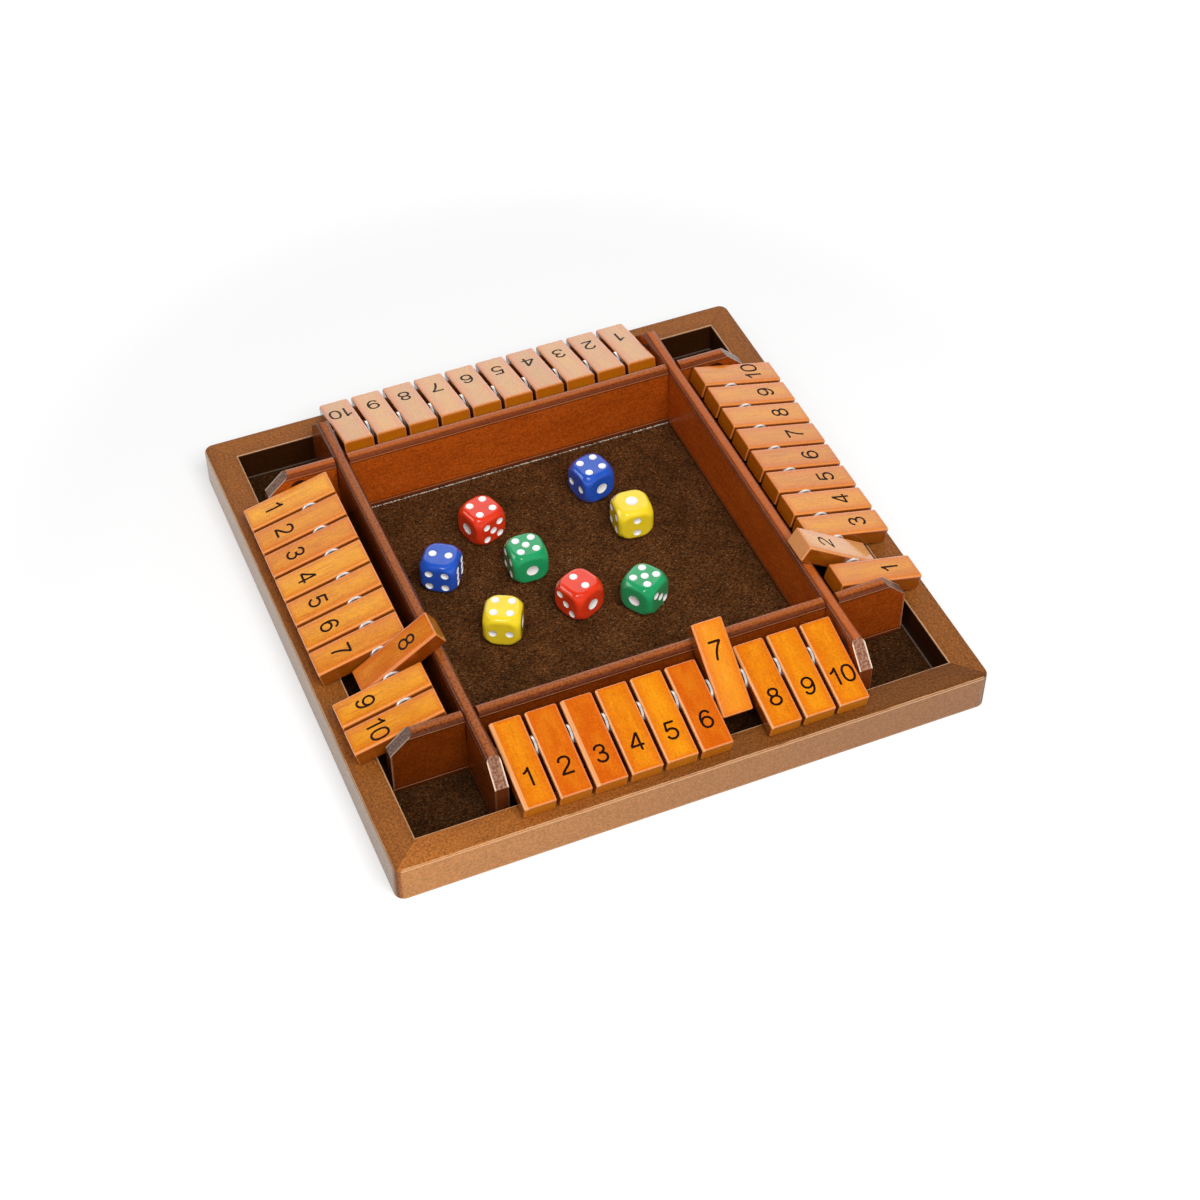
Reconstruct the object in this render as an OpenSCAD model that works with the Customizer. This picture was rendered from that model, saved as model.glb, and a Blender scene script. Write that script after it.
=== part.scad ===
// Four-sided shut the box game. A shallow wooden tray holds a square dice
// floor, walled by four crossing dividers. Along each side a row of ten
// numbered tiles turns on a steel rod: a tile lies outwards on the rail, or
// is tipped inwards onto the divider once its number is shut.
// Origin: middle of the underside, +Z up, front row along -Y.

/* [Tiles] */
// Width of a tile, along its row
tile_w = 15.9; // [14:0.1:18]
// Gap between neighbouring tiles
tile_gap = 1.6; // [1:0.1:2]
// Thickness of a tile
tile_t = 9.5; // [8:0.1:10.5]
// Length of a tile from its rod to the numbered end
tile_long = 30.7; // [28:0.1:33]
// Length of a tile from its rod to the plain end
tile_short = 15.3; // [13:0.1:16.5]
// Bevel along the sides of a tile's broad faces
tile_edge = 1.4; // [0.6:0.1:1.8]
// Bevel at the ends of a tile
tile_bevel = 0.8; // [0.3:0.1:1.2]
// Clearance left where a tile comes to rest on wood
rest_gap = 0.1; // [0.05:0.05:0.3]

/* [Rods] */
// Diameter of a steel rod
rod_d = 5; // [4:0.1:6]
// Clearance round a rod, on the radius
rod_clearance = 0.05; // [0.02:0.01:0.1]
// Height of the rods' axes above the underside
rod_z = 33; // [31:0.1:35]
// Distance from a rod's axis to the divider beside it
rod_to_divider = 20.3; // [18.5:0.1:23]
// Distance from a rod's axis to the inner face of the rail
rod_to_rail = 19.5; // [17.5:0.1:21.5]
// Depth of the blind hole that holds each end of a rod
rod_socket = 4.5; // [3:0.1:5]
// Diameter of the washers between the tiles
washer_d = 9.6; // [6.5:0.1:10]
// Clearance each side of a washer
washer_play = 0.25; // [0.05:0.05:0.3]

/* [Frame] */
// Width of a rail, seen from above
rail_w = 15; // [12:0.5:18]
// Height of a rail
rail_h = 21; // [19:0.5:23]
// Radius of the frame's upright outer corners
corner_r = 5; // [3:0.5:8]
// Radius of the rails' outer top edge
top_edge_r = 2; // [1:0.5:3]
// Bevel on the rails' inner top edge
inner_edge = 0.5; // [0.2:0.1:1]

/* [Floor] */
// Thickness of the plywood base board
base_t = 4; // [3:0.5:5]
// Width of the seat cut into the rails for the base board
base_seat = 6; // [4:0.5:8]
// Clearance round the base board in its seat
base_gap = 0.1; // [0.05:0.05:0.3]
// Thickness of the felt
felt_t = 1; // [0.5:0.1:1.5]

/* [Dividers] */
// Thickness of a divider
divider_t = 6.7; // [5.5:0.1:8]
// Height of a divider above the felt
divider_h = 37; // [35:0.5:40]
// Radius of a divider's two top edges
divider_edge_r = 2.6; // [1:0.1:2.7]
// Space between a row's last tile and the divider it ends at
row_margin = 1.8; // [1:0.1:3]
// Gap between a divider's end and the rail
end_gap = 3; // [1:0.5:5]
// Length of the sloping cut on a divider's end
end_cut_l = 11.5; // [8:0.5:14]
// Height of the sloping cut on a divider's end
end_cut_h = 11; // [8:0.5:14]
// Gap each side of a divider in the notch that crosses it
lap_gap = 0.3; // [0.1:0.1:0.6]

/* [Dice] */
// Side of a die
die_size = 19; // [16:0.5:20]
// Radius of a die's edges
die_edge_r = 3; // [2:0.1:4.5]
// Radius of the flat that a die's ball-ground corners leave on each face
die_flat_r = 8.6; // [8:0.1:9.4]
// Diameter of a pip
pip_d = 4; // [3:0.1:4.5]
// Diameter of the single pip on face one
one_pip_d = 6.2; // [4:0.1:7]
// Depth of a pip
pip_depth = 0.7; // [0.4:0.1:1]
// Distance between the outer pips of a face
pip_pitch = 8.2; // [7:0.1:9]

/* [Hidden] */
SIDES = ["front", "left", "back", "right"];
TILES_PER_ROW = 10;
// Rows are alike, each turned by this much from the front one
SIDE_TURN = [0, -90, 180, 90];
// Tiles that are tipped inwards, as [side, number]
SHUT_TILES = [["front", 7], ["left", 8], ["right", 2]];
// Dice, as [name, place on the floor, top face, turn about Z, colour]
DICE = [
    ["red_die_1", [-33.3, 48], 4, -162, "red"],
    ["red_die_2", [-7.5, -19.4], 2, -157, "red"],
    ["blue_die_1", [30, 55], 4, -77, "royalblue"],
    ["blue_die_2", [-63.9, 24.3], 2, 56, "royalblue"],
    ["green_die_1", [-22.4, 14.2], 5, -2, "seagreen"],
    ["green_die_2", [23.5, -28.7], 5, -56, "seagreen"],
    ["yellow_die_1", [38.7, 22.3], 1, -5, "gold"],
    ["yellow_die_2", [-48.4, -20.9], 4, -28, "gold"],
];
// Turn that brings each face of a die uppermost
FACE_UP = [undef, [0, 0, 0], [-90, 0, 0], [0, -90, 0], [0, 90, 0], [90, 0, 0], [180, 0, 0]];

// Overlap of cutting solids past the faces that they cut
over = 1;
floor_z = base_t + felt_t;
tile_pitch = tile_w + tile_gap;
row_length = TILES_PER_ROW * tile_pitch - tile_gap;
play_half = row_length / 2 + row_margin;
divider_outer = play_half + divider_t;
divider_mid = play_half + divider_t / 2;
divider_top = floor_z + divider_h;
rod_place = divider_outer + rod_to_divider;
well_half = rod_place + rod_to_rail;
frame_half = well_half + rail_w;
divider_half = well_half - end_gap;
lap_z = floor_z + divider_h / 2;
rod_length = 2 * (play_half + rod_socket);
washer_t = tile_gap - 2 * washer_play;

// Slope of a tile whose bevelled lower edge lies on the rail
open_reach = tile_long - tile_bevel;
open_slope = asin((rod_z - rail_h - rest_gap) / norm([open_reach, tile_t / 2]))
    - atan2(tile_t / 2, open_reach);
// Slope of a tile whose face lies on the rounded edge of the divider
edge_side = rod_to_divider + divider_edge_r;
edge_rise = divider_top - divider_edge_r - rod_z;
shut_slope = asin((tile_t / 2 + divider_edge_r + rest_gap) / norm([edge_side, edge_rise]))
    + atan2(edge_rise, edge_side);

function tile_name(side, number) = str(side, "_tile_", number);
function is_shut(side, number) = len([for (tile = SHUT_TILES) if (tile == [side, number]) 1]) > 0;
// Place along a row of the washer beyond each tile, the ones at the ends centred in their space
function washer_place(i) = i % TILES_PER_ROW == 0
    ? (2 * i / TILES_PER_ROW - 1) * (row_length + row_margin) / 2
    : (i - TILES_PER_ROW / 2) * tile_pitch;
function pip_ball_r(d) = (d * d / 4 + pip_depth * pip_depth) / (2 * pip_depth);

// Places of a face's pips, in half pitches
PIPS = [
    [],
    [[0, 0]],
    [[0, -1], [0, 1]],
    [[-1, 1], [0, 0], [1, -1]],
    [for (x = [-1, 1]) for (y = [-1, 1]) [x, y]],
    concat([[0, 0]], [for (x = [-1, 1]) for (y = [-1, 1]) [x, y]]),
    [for (x = [-1, 1]) for (y = [-1, 0, 1]) [x, y]],
];

module base_board() {
    side = 2 * (well_half + base_seat - base_gap);
    color("peru")
        translate([0, 0, base_t / 2]) cube([side, side, base_t], center = true);
}

module felt_lining() {
    side = 2 * (well_half - base_gap);
    color("#3a2519")
        translate([0, 0, base_t + felt_t / 2]) cube([side, side, felt_t], center = true);
}

// A bar's upper outer edge, to be cut away outside its rounding
module edge_waste(length, r) {
    rotate([90, 0, 90])
        linear_extrude(length, center = true)
            difference() {
                square(r + over);
                circle(r, $fn = 48);
            }
}

// What is cut away outside an upright rounded corner of the frame
module corner_waste() {
    arc_place = frame_half - corner_r;
    edge_ring = corner_r - top_edge_r;
    translate([arc_place, arc_place, 0])
        difference() {
            translate([0, 0, -over]) cube([corner_r + over, corner_r + over, rail_h + 2 * over]);
            rotate_extrude($fn = 72) rail_corner_profile(edge_ring);
        }
}

// Half section through a rounded corner, about the corner's upright axis
module rail_corner_profile(edge_ring) {
    translate([0, -over]) square([corner_r, rail_h - top_edge_r + over]);
    translate([0, -over]) square([edge_ring, rail_h + over]);
    translate([edge_ring, rail_h - top_edge_r])
        intersection() {
            circle(top_edge_r, $fn = 48);
            square(top_edge_r);
        }
}

// One side of the mitred frame, along the front
module rail() {
    bar_y = -frame_half;
    difference() {
        linear_extrude(rail_h)
            polygon([[-frame_half, bar_y], [frame_half, bar_y],
                [well_half, -well_half], [-well_half, -well_half]]);
        translate([0, bar_y + top_edge_r, rail_h - top_edge_r])
            mirror([0, 1, 0]) edge_waste(2 * (frame_half - corner_r), top_edge_r);
        for (flip = [0, 1])
            mirror([flip, 0, 0]) mirror([0, 1, 0]) corner_waste();
        translate([0, -well_half, rail_h])
            rotate([45, 0, 0])
                cube([2 * frame_half, inner_edge * sqrt(2), inner_edge * sqrt(2)], center = true);
        translate([0, -well_half, 0])
            cube([2 * frame_half, 2 * base_seat, 2 * base_t], center = true);
    }
}

module placed_rail(side_index) {
    color("saddlebrown") rotate([0, 0, SIDE_TURN[side_index]]) rail();
}

// Side view of a divider, with its sloping ends
module divider_outline() {
    cut_start = divider_half - end_cut_l;
    cut_foot = divider_top - end_cut_h;
    polygon([[-divider_half, floor_z], [divider_half, floor_z],
        [divider_half, cut_foot], [cut_start, divider_top],
        [-cut_start, divider_top], [-divider_half, cut_foot]]);
}

// A divider along X with rounded top edges and both rod sockets
module divider_bar() {
    difference() {
        rotate([90, 0, 0])
            linear_extrude(divider_t, center = true) divider_outline();
        for (flip = [0, 1])
            mirror([0, flip, 0])
                translate([0, divider_t / 2 - divider_edge_r, divider_top - divider_edge_r])
                    edge_waste(2 * (divider_half + over), divider_edge_r);
        for (end = [-1, 1])
            translate([end * rod_place, divider_t / 2 - rod_socket, rod_z])
                rotate([-90, 0, 0])
                    cylinder(h = rod_socket + over, r = rod_d / 2 + rod_clearance, $fn = 48);
    }
}

// Notches where the two crossing dividers pass, from the top or from below
module lap_notches(from_top) {
    width = divider_t + 2 * lap_gap;
    low = from_top ? lap_z : floor_z - over;
    high = from_top ? divider_top + over : lap_z;
    for (end = [-1, 1])
        translate([end * divider_mid - width / 2, -divider_t, low])
            cube([width, 2 * divider_t, high - low]);
}

// Front and back dividers are notched from the top, left and right ones from below
module placed_divider(side_index) {
    cross = side_index % 2 == 0;
    color(cross ? "#8a4a2c" : "#9b5a38")
        rotate([0, 0, SIDE_TURN[side_index]])
            translate([0, -divider_mid, 0])
                difference() {
                    divider_bar();
                    lap_notches(cross);
                }
}

module pivot_rods() {
    color("silver")
        for (turn = SIDE_TURN)
            rotate([0, 0, turn])
                translate([0, -rod_place, rod_z])
                    rotate([0, 90, 0])
                        cylinder(h = rod_length, r = rod_d / 2, center = true, $fn = 48);
}

// Washers that keep the tiles of a row apart
module rod_washers() {
    color("gainsboro")
        for (turn = SIDE_TURN)
            rotate([0, 0, turn])
                for (i = [0:TILES_PER_ROW])
                    translate([washer_place(i), -rod_place, rod_z])
                        rotate([0, 90, 0])
                            difference() {
                                cylinder(h = washer_t, r = washer_d / 2, center = true, $fn = 48);
                                cylinder(h = washer_t + 2 * over, r = rod_d / 2 + rod_clearance,
                                    center = true, $fn = 48);
                            }
}

// Rectangle with its four corners cut at 45 degrees
module bevelled_rectangle(x, y, cut) {
    polygon([[cut, 0], [x - cut, 0], [x, cut], [x, y - cut],
        [x - cut, y], [cut, y], [0, y - cut], [0, cut]]);
}

// A tile on the rod's axis: long end along +X, width along Y, number face up
module tile_blank() {
    length = tile_long + tile_short;
    difference() {
        translate([-tile_short, -tile_w / 2, -tile_t / 2])
            intersection() {
                linear_extrude(tile_t) bevelled_rectangle(length, tile_w, tile_bevel);
                translate([0, tile_w, 0])
                    rotate([90, 0, 0]) linear_extrude(tile_w)
                        bevelled_rectangle(length, tile_t, tile_bevel);
                rotate([90, 0, 90]) linear_extrude(length)
                    bevelled_rectangle(tile_w, tile_t, tile_edge);
            }
        rotate([90, 0, 0])
            cylinder(h = tile_w + 2 * over, r = rod_d / 2 + rod_clearance, center = true, $fn = 48);
    }
}

// Tile in its place on the front row, turned as it lies open or shut
module placed_tile(side_index, number) {
    slope = is_shut(SIDES[side_index], number) ? 180 - shut_slope : -open_slope;
    along = (number - (TILES_PER_ROW + 1) / 2) * tile_pitch;
    color(side_index == 2 ? "burlywood" : "orange")
        rotate([0, 0, SIDE_TURN[side_index]])
            translate([along, -rod_place, rod_z])
                rotate([0, -slope, -90]) tile_blank();
}

// Square with round corners, centred
module round_square(side, r) {
    inner = side - 2 * r;
    square([side, inner], center = true);
    square([inner, side], center = true);
    for (x = [-1, 1])
        for (y = [-1, 1])
            translate([x * inner / 2, y * inner / 2]) circle(r, $fn = 48);
}

// Cube with round edges, whose corners are ground off by a ball
module die_body() {
    corner_reach = norm([die_size / 2, die_flat_r]);
    intersection() {
        for (turn = [[0, 0, 0], [90, 0, 0], [0, 90, 0]])
            rotate(turn)
                linear_extrude(die_size, center = true) round_square(die_size, die_edge_r);
        sphere(corner_reach, $fn = 96);
    }
}

// One face's pips, sunk into the top of a die
module pips(face) {
    d = face == 1 ? one_pip_d : pip_d;
    for (place = PIPS[face])
        translate(concat(place * pip_pitch / 2, [die_size / 2 + pip_ball_r(d) - pip_depth]))
            sphere(pip_ball_r(d), $fn = 48);
}

// A die with face one up, face two to the front and face three to the right
module die_shape() {
    difference() {
        die_body();
        pips(1);
        rotate([90, 0, 0]) pips(2);
        rotate([0, 90, 0]) pips(3);
        rotate([0, -90, 0]) pips(4);
        rotate([-90, 0, 0]) pips(5);
        rotate([180, 0, 0]) pips(6);
    }
}

module placed_die(die) {
    color(die[4])
        translate(concat(die[1], [floor_z + die_size / 2]))
            rotate([0, 0, die[3]]) rotate(FACE_UP[die[2]]) die_shape();
}

base_board();
felt_lining();
pivot_rods();
rod_washers();
for (i = [0:3]) {
    placed_rail(i);
    placed_divider(i);
    for (number = [1:TILES_PER_ROW])
        placed_tile(i, number);
}
for (die = DICE)
    placed_die(die);
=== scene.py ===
import math
import random
from functools import partial

import bmesh
import bpy
from mathutils import Matrix, Vector
from mathutils.geometry import delaunay_2d_cdt


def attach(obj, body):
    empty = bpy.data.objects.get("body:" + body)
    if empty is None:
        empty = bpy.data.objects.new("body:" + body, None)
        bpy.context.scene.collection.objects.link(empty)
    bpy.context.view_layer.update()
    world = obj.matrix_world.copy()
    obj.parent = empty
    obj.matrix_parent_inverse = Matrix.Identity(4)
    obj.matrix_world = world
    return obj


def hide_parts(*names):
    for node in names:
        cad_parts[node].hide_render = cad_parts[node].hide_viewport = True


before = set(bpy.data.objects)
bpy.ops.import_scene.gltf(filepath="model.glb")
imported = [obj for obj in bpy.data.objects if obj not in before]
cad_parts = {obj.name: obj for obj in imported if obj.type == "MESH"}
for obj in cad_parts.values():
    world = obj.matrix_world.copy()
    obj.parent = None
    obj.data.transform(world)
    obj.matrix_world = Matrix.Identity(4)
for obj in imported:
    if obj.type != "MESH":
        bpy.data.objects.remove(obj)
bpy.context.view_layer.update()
print("loaded the packed game,", len(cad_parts), "nodes")

mm = 0.001
sideTurn = {"front": 0, "left": -90, "back": 180, "right": 90}
smooth = {"interpolation_type": "SMOOTHSTEP"}
rgba = {"data_type": "RGBA"}
mostNoise = (0.3, 0.7)   # nearly all of a noise texture lies between these
cloudNoise = {"Detail": 3.0, "Roughness": 0.6}
grainNoise = {"Detail": 4.0, "Roughness": 0.7}


def linear(hexColour):
    # sRGB hex to the linear values that shader sockets take
    parts = [int(hexColour[i:i + 2], 16) / 255 for i in (1, 3, 5)]
    return [c / 12.92 if c <= 0.04045 else ((c + 0.055) / 1.055) ** 2.4 for c in parts] + [1]


def perMetre(*sizes):
    # how often a pattern repeats in a metre when its features are this many millimetres long
    return [1000 / size for size in sizes]


def turned(degrees, axis):
    return Matrix.Rotation(math.radians(degrees), 4, axis)


def mainOutput(node):
    return next(socket for socket in node.outputs if socket.enabled)


def addNode(tree, kind, inputs={}, **settings):
    # one shader node; an input takes a plain value, a socket, or a node to be joined to, and a tuple of
    # inputs takes as many. Map Range has its value at 0, its from at 1 and 2 and its to at 3 and 4; Mix
    # has its share at 0 and what it mixes at 2 and 3 for numbers, or at 6 and 7 for colours
    node = tree.nodes.new("ShaderNode" + kind)
    for name, value in settings.items():
        setattr(node, name, value)
    for names, values in inputs.items():
        for name, value in zip(names, values) if isinstance(names, tuple) else [(names, values)]:
            if isinstance(value, bpy.types.Node):
                value = mainOutput(value)
            if isinstance(value, bpy.types.NodeSocket):
                tree.links.new(value, node.inputs[name])
            else:
                node.inputs[name].default_value = value
    return node


def newMaterial(name, sockets):
    # a material with its shader's plain sockets set, what adds a node to it, and its own coordinates
    material = bpy.data.materials.new(name)
    material.use_nodes = True
    shader = material.node_tree.nodes["Principled BSDF"]
    for socket, value in sockets.items():
        shader.inputs[socket].default_value = value
    add = partial(addNode, material.node_tree)
    return material, add, add("TexCoord").outputs["Object"]


def feedShader(material, outputs):
    # joins sockets of a material's shader to the nodes that feed them
    tree = material.node_tree
    for socket, node in outputs.items():
        tree.links.new(mainOutput(node), tree.nodes["Principled BSDF"].inputs[socket])


def setSurface(material, colour, roughness, relief, depth):
    # colour, roughness, and a relief this many millimetres deep
    bump = addNode(material.node_tree, "Bump", {"Height": relief, "Strength": 1.0, "Distance": depth * mm})
    feedShader(material, {"Base Color": colour, "Roughness": roughness, "Normal": bump})


def distanceFrom(add, measure, level):
    # how far a measure is from a level, on either side of it
    away = add("Math", {0: measure, 1: level}, operation="SUBTRACT")
    return add("Math", {0: away}, operation="ABSOLUTE")


def paintOver(finish, share, paint):
    # lays one more colour over a finish, as thick as the share says
    paint = linear(paint) if isinstance(paint, str) else paint
    finish["colour"] = finish["add"]("Mix", {0: share, 6: finish["colour"], 7: paint}, **rgba)
    feedShader(finish["material"], {"Base Color": finish["colour"]})


def paintWhere(finish, measure, patch, **settings):
    # the same over a patch: where on the measure it begins and is full, its thickness there and its colour
    share = finish["add"]("MapRange", {0: measure, (1, 2, 4): patch[:3]}, **settings)
    paintOver(finish, share, patch[3])
    return share


def dress(node, material):
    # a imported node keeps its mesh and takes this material
    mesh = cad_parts[node].data
    mesh.materials.clear()
    mesh.materials.append(material)
    mesh.polygons.foreach_set("material_index", [0] * len(mesh.polygons))


# stained and sprayed wood, for rails, dividers and tiles

woodLook = {   # what these woods share; sizes are in millimetres, here and where no other unit is given
    "wanderSize": 30, "wander": 2, "mottled": (0.32, 0.68), "toneReach": 0.7, "veined": (0.5, 0.68),
    "rougher": (-0.05, 0.06),
}
beech = {   # what the rails and dividers share
    "grain": (14, 0.9, 0.9), "speck": 1.1, "peel": 1.2, "veinShare": 0.35, "rimShare": 0.3,
    "rimWander": 3.0, "wornWander": 0.9, "stretch": (1, 1, 1),
}


def stainedWood(name, look, shift, turn=0, tone=0.5, drift=(1, 1, 1)):
    # hardwood under spray stain and lacquer: mottled tone with fine grain and overspray specks,
    # stain gathered towards the edges and rubbed through on them, and painted light and shade along the
    # board
    material, add, coordinates = newMaterial(name, {"IOR": 1.5, **look["shader"]})
    place = add("Mapping", {"Vector": coordinates, "Rotation": (0, 0, math.radians(-turn))})

    # how far inside the board's faces a place is, in millimetres and negative: the second nearest of
    # the three faces gives the distance from an edge
    sized = add("VectorMath", {0: place, "Scale": 1 / mm}, operation="SCALE")
    aside = add("VectorMath", {0: sized, 1: look["centre"]}, operation="SUBTRACT")
    outwards = add("VectorMath", {0: aside}, operation="ABSOLUTE")
    inset = add("VectorMath", {0: outwards, 1: look["half"]}, operation="SUBTRACT")
    inset = add("VectorMath", {0: inset, 1: look["stretch"]}, operation="MULTIPLY")
    x, y, z = add("SeparateXYZ", {0: inset}).outputs
    along = add("SeparateXYZ", {0: aside}).outputs[0]
    nearer = add("Math", {0: x, 1: y}, operation="MINIMUM")
    further = add("Math", {0: x, 1: y}, operation="MAXIMUM")
    further = add("Math", {0: further, 1: z}, operation="MINIMUM")
    edge = add("Math", {0: nearer, 1: further}, operation="MAXIMUM")

    # every board comes from another place in the log, and its grain wanders
    log = add("Mapping", {"Vector": place, "Location": shift})
    wander = add("TexNoise", {"Vector": log, "Scale": 1000 / woodLook["wanderSize"], "Detail": 1.0})
    reach = woodLook["wander"] * mm
    bent = add("VectorMath", {0: wander.outputs["Color"], 1: (0, reach, reach), 2: log},
               operation="MULTIPLY_ADD")
    stretched = add("Mapping", {"Vector": bent, "Scale": perMetre(*look["grain"])})
    grain = add("TexNoise", {"Vector": stretched, "Scale": 1.0, **grainNoise})
    mottling = add("Mapping", {"Vector": bent, "Scale": perMetre(*look["mottle"])})
    mottle = add("TexNoise", {"Vector": mottling, "Scale": 1.0, **cloudNoise})
    speck = add("TexNoise", {"Vector": log, "Scale": 1000 / look["speck"], "Detail": 2.0,
                             "Roughness": 0.6})

    lightest = 1 - woodLook["toneReach"] * (1 - tone)
    lighter = add("MapRange", {0: mottle, (1, 2): woodLook["mottled"], 3: woodLook["toneReach"] * tone,
                               4: lightest}, **smooth)
    colour = add("Mix", {0: lighter, (6, 7): (linear(look["dark"]), linear(look["light"]))}, **rgba)
    veined = add("MapRange", {0: grain, (1, 2): woodLook["veined"], 4: look["veinShare"]}, **smooth)
    colour = add("Mix", {0: veined, 6: colour, 7: linear(look["vein"])}, **rgba)
    gathering = add("Math", {0: mottle, 1: look["rimWander"], 2: edge}, operation="MULTIPLY_ADD")
    gathered = add("MapRange", {0: gathering, (1, 2): look["rimAt"], 4: look["rimShare"]}, **smooth)
    colour = add("Mix", {0: gathered, 6: colour, 7: linear(look["rim"])}, **rgba)
    specksAndPaintedLight = add("MapRange", {0: speck, (1, 2): mostNoise, 3: 1 - look["speckle"],
                               4: 1 + look["speckle"]})
    # painted light and shade along the board, set by how light it is at its ends and its middle
    reach = look["half"][0]
    for span, levels in (((-reach, 0.0), drift[:2]), ((0.0, reach), (1.0, drift[2] / drift[1]))):
        paintedLightAlong = add("MapRange", {0: along, (1, 2): span, (3, 4): levels})
        specksAndPaintedLight = add("Math", {0: specksAndPaintedLight, 1: paintedLightAlong}, operation="MULTIPLY")
    colour = add("HueSaturation", {"Color": colour, "Value": specksAndPaintedLight})
    rubbing = add("Math", {0: grain, 1: look["wornWander"], 2: edge}, operation="MULTIPLY_ADD")
    worn = add("MapRange", {0: rubbing, (1, 2): look["wornAt"], 4: look["wornShare"]}, **smooth)
    colour = add("Mix", {0: worn, 6: colour, 7: linear(look["worn"])}, **rgba)

    gloss = add("MapRange", {0: mottle, (1, 2): mostNoise,
                             (3, 4): [look["roughness"] + change for change in woodLook["rougher"]]})
    peel = add("TexNoise", {"Vector": place, "Scale": 1000 / look["peel"], "Detail": 1.5})
    relief = add("Math", {0: grain, 1: look["grainRelief"], 2: peel}, operation="MULTIPLY_ADD")
    setSurface(material, colour, gloss, relief, look["relief"])
    at = add("SeparateXYZ", {0: sized}).outputs
    return {"material": material, "add": add, "colour": colour, "at": at, "inset": (x, y, z),
            "along": along, "grain": grain, "speck": speck, "gloss": gloss}


# frame rails

railLook = {
    # beech under a sprayed walnut stain, left satin: golden brown, speckled, hardly any grain
    "light": "#9c5e26", "dark": "#7c461a", "vein": "#593010", "rim": "#6c3a15", "worn": "#dcae86",
    **beech, "mottle": (34, 15, 15), "speckle": 0.44,
    "rimAt": (-3.5, 2.2), "wornAt": (-0.45, -0.15), "wornShare": 0.7,
    "shader": {"Specular IOR Level": 0.25}, "roughness": 0.45, "grainRelief": 0.6, "relief": 0.05,
    "centre": (0, -142.5, 10.5), "half": (150, 7.5, 10.5),
    # how light each rail is painted at its left end, as one stands before it, in its middle and
    # at its right end, painted light and shade along it, and the colours of its outer face at both ends
    "drift": {"front": (1.55, 0.76, 0.57), "left": (1.05, 1, 1.05), "back": (1.12, 1.12, 1.12),
              "right": (0.9, 1, 1.05)},
    "outer": {"front": ("#d39253", "#a9764e"), "left": ("#d8b08a", "#a88258"),
              "back": ("#a87850", "#a87850"), "right": ("#a87850", "#a87850")},
    "sanded": (-149.2, -149.8, 0.72), "dusty": (0.82, 1.18), "outerRoughness": 0.16,
    "inner": (-135.3, -135.1, 0.92, "#1e0a03"), "mitre": (0.25, 0.0, 0.7, "#35190b"),
    "edgeHighlight": (19.5, 0.3, 0.75, "#eec8a6"),   # its height, half its width, its share and its colour
}

for index, side in enumerate(sideTurn):
    wood = stainedWood("walnutStainedBeech_" + side, railLook, (0.4 * index, 0.13 * index, 0),
                       sideTurn[side], drift=railLook["drift"][side])
    add = wood["add"]
    across, out, up = wood["at"]
    # the outer face was sanded after staining: it is lighter and shines more; on the front and left rails
    # it is painted lighter still, more at one end: painted light
    half = railLook["half"][0]
    place = add("MapRange", {0: across, 1: -half, 2: half})
    sandedAndLit = add("Mix", {0: place, (6, 7): map(linear, railLook["outer"][side])}, **rgba)
    dusted = add("MapRange", {0: wood["speck"], (1, 2): mostNoise, (3, 4): railLook["dusty"]})
    sandedAndLit = add("HueSaturation", {"Color": sandedAndLit, "Value": dusted})
    sanded = paintWhere(wood, out, (*railLook["sanded"], sandedAndLit), **smooth)
    polished = add("Mix", {0: sanded, 2: wood["gloss"], 3: railLook["outerRoughness"]}, data_type="FLOAT")
    feedShader(wood["material"], {"Roughness": polished})
    # the inner face, in the shade of the wells, is painted darkest: painted shade
    paintWhere(wood, out, railLook["inner"])
    # where the rounded edge meets the outer face a thin pale line is painted: a painted highlight
    level, half, thickness, paint = railLook["edgeHighlight"]
    line = add("MapRange", {0: distanceFrom(add, up, level), 1: half, 2: half / 2, 4: thickness})
    line = add("Math", {0: line, 1: sanded}, operation="MULTIPLY")
    paintOver(wood, line, paint)
    # a dark glue line shows at each mitre
    across = add("Math", {0: across}, operation="ABSOLUTE")
    out = add("Math", {0: out}, operation="ABSOLUTE")
    paintWhere(wood, distanceFrom(add, across, out), railLook["mitre"], **smooth)
    dress(side + "_rail", wood["material"])
print("rails dressed")


# dividers

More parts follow.
